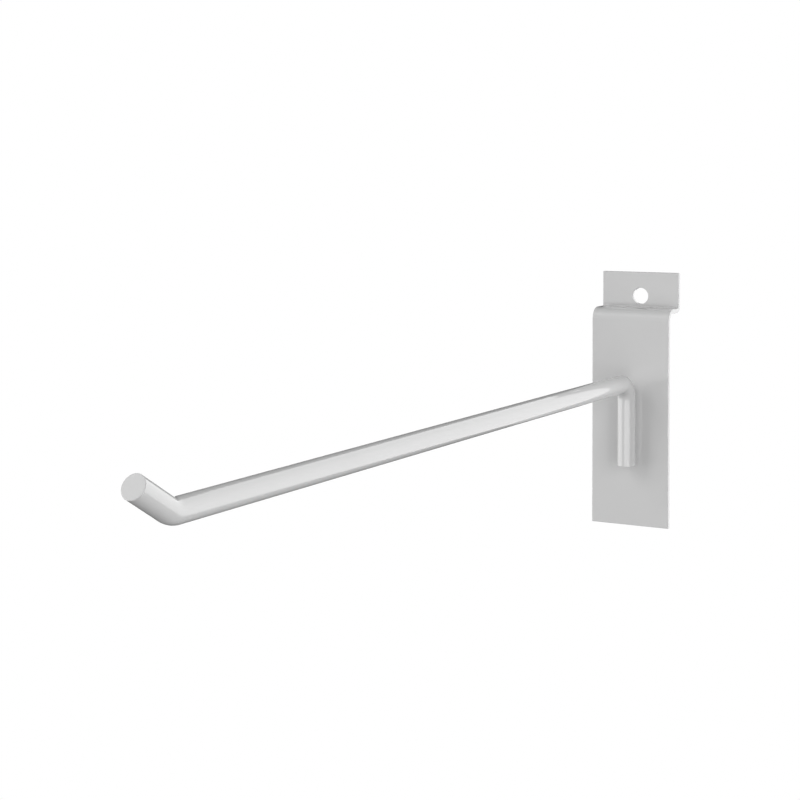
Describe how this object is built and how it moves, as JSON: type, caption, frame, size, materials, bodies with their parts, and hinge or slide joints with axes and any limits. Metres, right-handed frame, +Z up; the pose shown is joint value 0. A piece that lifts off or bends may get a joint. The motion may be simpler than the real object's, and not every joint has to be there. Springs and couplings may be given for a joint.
{
  "type": "slatwall hook",
  "caption": "Single-prong slatwall hook: joggled sheet back plate with a holed tab, and a welded round arm with an upturned tip.",
  "frame": {"origin": "on the back plate's rear face, at mid-width, level with the arm's axis", "axes": "+Z up, +Y into the wall, -Y along the arm towards its tip, +X across the plate"},
  "size_m": [0.0274, 0.2824, 0.0848],
  "materials": {
    "powder_coat": "satin white powder coat on steel"
  },
  "bodies": {
    "root": {"back_plate": "powder_coat", "hook_rod": "powder_coat"}
  },
  "joints": []
}
